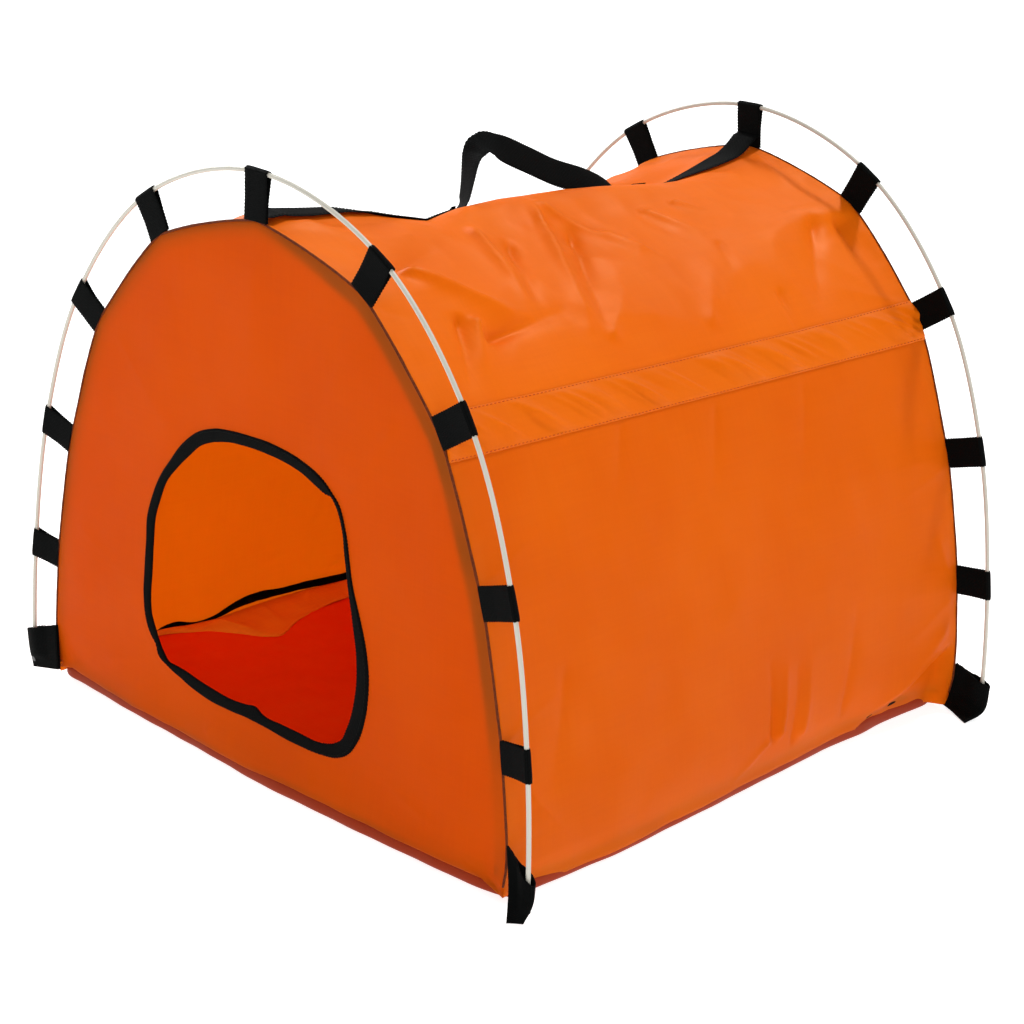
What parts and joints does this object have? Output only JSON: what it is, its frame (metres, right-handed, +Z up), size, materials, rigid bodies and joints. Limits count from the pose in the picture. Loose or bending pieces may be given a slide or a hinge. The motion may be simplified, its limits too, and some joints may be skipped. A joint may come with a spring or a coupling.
{
  "type": "pet tent",
  "caption": "Pop-up pet tent: arched fabric tunnel on two outside rod hoops, oval doorway, padded floor and a carry handle on its ridge.",
  "frame": {"origin": "on the ground, under the middle of the floor", "axes": "+Z up, +Y from the doorway to the back, +X to the right of someone facing the doorway's inside"},
  "size_m": [0.6056, 0.5628, 0.4872],
  "materials": {
    "orange_nylon": "coated plain-weave nylon, slight sheen",
    "red_nylon": "coated plain-weave nylon over padding",
    "foam": "soft open foam, hidden",
    "black_tape": "ribbed polyester binding tape",
    "black_webbing": "matt woven polypropylene webbing",
    "fibreglass": "off-white pultruded fibreglass, satin",
    "tip_plastic": "moulded"
  },
  "bodies": {
    "root": {"roof_panel": "orange_nylon", "left_side_panel": "orange_nylon", "right_side_panel": "orange_nylon", "left_seam_band": "orange_nylon", "right_seam_band": "orange_nylon", "front_panel": "orange_nylon", "rear_panel": "orange_nylon", "floor_lower_cover": "orange_nylon", "floor_upper_cover": "red_nylon", "floor_foam": "foam", "door_binding": "black_tape", "front_seam_binding": "black_tape", "rear_seam_binding": "black_tape", "left_floor_tape": "black_tape", "right_floor_tape": "black_tape", "front_floor_tape": "black_tape", "rear_floor_tape": "black_tape", "ridge_strap": "black_webbing", "handle_front_end": "black_webbing", "handle_rear_end": "black_webbing", "front_loop_apex": "black_webbing", "front_loop_left_1": "black_webbing", "front_loop_left_2": "black_webbing", "front_loop_left_3": "black_webbing", "front_loop_left_4": "black_webbing", "front_loop_right_1": "black_webbing", "front_loop_right_2": "black_webbing", "front_loop_right_3": "black_webbing", "front_loop_right_4": "black_webbing", "rear_loop_apex": "black_webbing", "rear_loop_left_1": "black_webbing", "rear_loop_left_2": "black_webbing", "rear_loop_left_3": "black_webbing", "rear_loop_left_4": "black_webbing", "rear_loop_right_1": "black_webbing", "rear_loop_right_2": "black_webbing", "rear_loop_right_3": "black_webbing", "rear_loop_right_4": "black_webbing", "front_left_pocket": "black_webbing", "front_right_pocket": "black_webbing", "rear_left_pocket": "black_webbing", "rear_right_pocket": "black_webbing"},
    "handle": {"carry_handle": "black_webbing"},
    "front_hoop": {"front_rod": "fibreglass", "front_left_rod_tip": "tip_plastic", "front_right_rod_tip": "tip_plastic"},
    "rear_hoop": {"rear_rod": "fibreglass", "rear_left_rod_tip": "tip_plastic", "rear_right_rod_tip": "tip_plastic"}
  },
  "joints": [
    {"name": "handle_flop", "type": "hinge", "parent": "root", "child": "handle", "pos_m": [0, 0, 0.4455], "axis": [0, 1, 0], "range_deg": [-85, 85], "deforming": ["handle_front_end", "handle_rear_end"]},
    {"name": "front_hoop_sway", "type": "hinge", "parent": "root", "child": "front_hoop", "pos_m": [0, -0.2766, 0.0066], "axis": [1, 0, 0], "range_deg": [-2.5, 2.5], "stiffness_Nm_per_rad": 6, "deforming": ["front_loop_apex", "front_loop_left_1", "front_loop_left_2", "front_loop_left_3", "front_loop_left_4", "front_loop_right_1", "front_loop_right_2", "front_loop_right_3", "front_loop_right_4"]},
    {"name": "rear_hoop_sway", "type": "hinge", "parent": "root", "child": "rear_hoop", "pos_m": [0, 0.2766, 0.0066], "axis": [1, 0, 0], "range_deg": [-2.5, 2.5], "stiffness_Nm_per_rad": 6, "deforming": ["rear_loop_apex", "rear_loop_left_1", "rear_loop_left_2", "rear_loop_left_3", "rear_loop_left_4", "rear_loop_right_1", "rear_loop_right_2", "rear_loop_right_3", "rear_loop_right_4"]}
  ]
}
